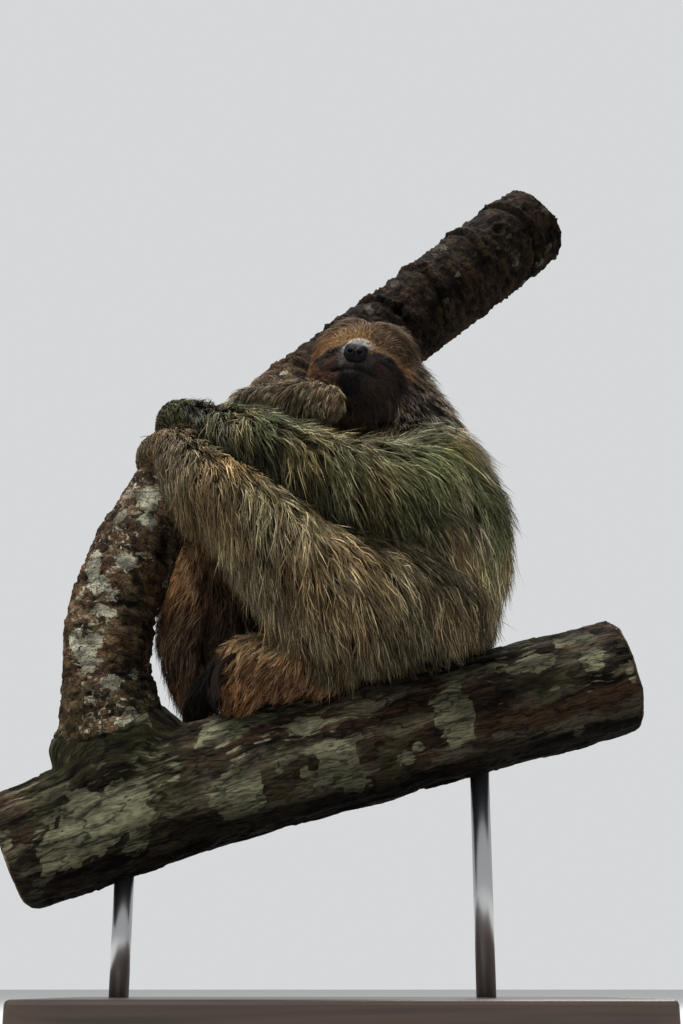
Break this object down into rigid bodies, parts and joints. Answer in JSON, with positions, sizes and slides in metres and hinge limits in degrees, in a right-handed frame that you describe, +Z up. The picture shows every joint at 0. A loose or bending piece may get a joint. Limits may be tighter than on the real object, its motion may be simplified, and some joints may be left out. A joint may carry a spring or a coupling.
{
  "type": "three-toed sloth",
  "caption": "Life-size three-toed sloth sitting in the fork of a cut branch, hugging the rising limb, on a flat display stand with rods.",
  "frame": {"origin": "on the underside of the display stand's board, straight below the branch", "axes": "+Z up; the sloth's body faces -X with its left side towards -Y, and its face looks out towards -Y"},
  "size_m": [0.6072, 0.36, 0.947],
  "materials": {
    "coat_body": "coarse grey-brown hair with green algae",
    "coat_face": "short tan and dark brown hair",
    "coat_paw": "short brown hair",
    "nose_skin": "damp bare skin",
    "eye_ball": "dark brown and wet",
    "claw_horn": "worn horn",
    "bark": "rough bark with pale lichen",
    "steel": "brushed",
    "board": "satin lacquer"
  },
  "bodies": {
    "root": {"arm_left_fore": "coat_body", "arm_left_upper": "coat_body", "arm_right_fore": "coat_body", "arm_right_upper": "coat_body", "claw_foot_left_1": "claw_horn", "claw_foot_left_2": "claw_horn", "claw_foot_left_3": "claw_horn", "claw_foot_right_1": "claw_horn", "claw_foot_right_2": "claw_horn", "claw_foot_right_3": "claw_horn", "claw_hand_left_1": "claw_horn", "claw_hand_left_2": "claw_horn", "claw_hand_left_3": "claw_horn", "claw_hand_right_1": "claw_horn", "claw_hand_right_2": "claw_horn", "claw_hand_right_3": "claw_horn", "eye_left": "eye_ball", "eye_right": "eye_ball", "foot_left": "coat_paw", "foot_right": "coat_paw", "hand_left": "coat_paw", "hand_right": "coat_paw", "head": "coat_face", "leg_left_shank": "coat_body", "leg_left_thigh": "coat_body", "leg_right_shank": "coat_body", "leg_right_thigh": "coat_body", "neck": "coat_body", "nose": "nose_skin", "perch_branch": "bark", "perch_limb": "bark", "stand_base": "board", "stand_rod_left": "steel", "stand_rod_right": "steel", "tail": "coat_body", "trunk": "coat_body"}
  },
  "joints": []
}
